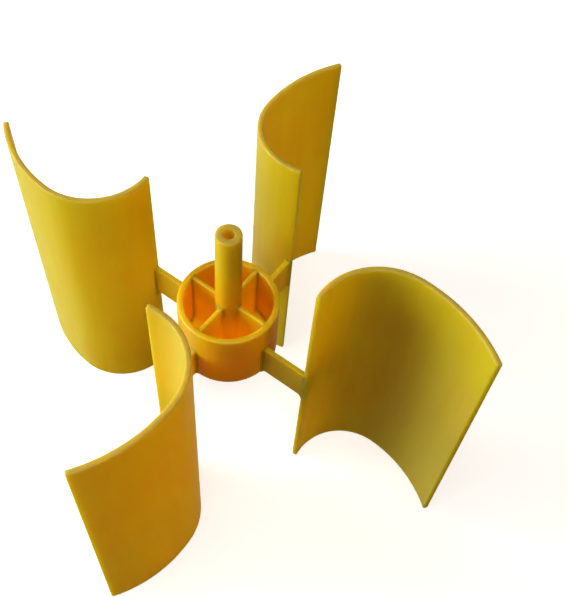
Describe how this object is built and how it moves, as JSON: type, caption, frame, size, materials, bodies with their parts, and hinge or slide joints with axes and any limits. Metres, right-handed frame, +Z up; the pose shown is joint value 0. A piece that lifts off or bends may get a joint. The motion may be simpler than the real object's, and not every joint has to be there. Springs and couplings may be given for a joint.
{
  "type": "vertical axis wind turbine rotor",
  "caption": "Small moulded vertical axis wind turbine: scoop-shaped blades on thin arms round a cup-shaped hub with a tall centre tube, free to spin on a steel axle.",
  "frame": {"origin": "on the spin axis, in the plane of the blades' lower edges", "axes": "+Z up along the spin axis, +X along the first arm, +Y along the second"},
  "size_m": [0.1003, 0.0983, 0.0625],
  "materials": {
    "rotor_plastic": "satin moulded yellow plastic",
    "axle_steel": "ground and polished steel"
  },
  "bodies": {
    "axle": {"axle": "axle_steel"},
    "rotor": {"hub_ring": "rotor_plastic", "hub_floor": "rotor_plastic", "shaft_tube": "rotor_plastic", "web_1": "rotor_plastic", "web_2": "rotor_plastic", "web_3": "rotor_plastic", "web_4": "rotor_plastic", "arm_1": "rotor_plastic", "arm_2": "rotor_plastic", "arm_3": "rotor_plastic", "arm_4": "rotor_plastic", "blade_1": "rotor_plastic", "blade_2": "rotor_plastic", "blade_3": "rotor_plastic", "blade_4": "rotor_plastic"}
  },
  "joints": [
    {"name": "rotor_spin", "type": "hinge", "parent": "axle", "child": "rotor", "pos_m": [0, 0, 0.03125], "axis": [0, 0, 1], "continuous": true}
  ]
}
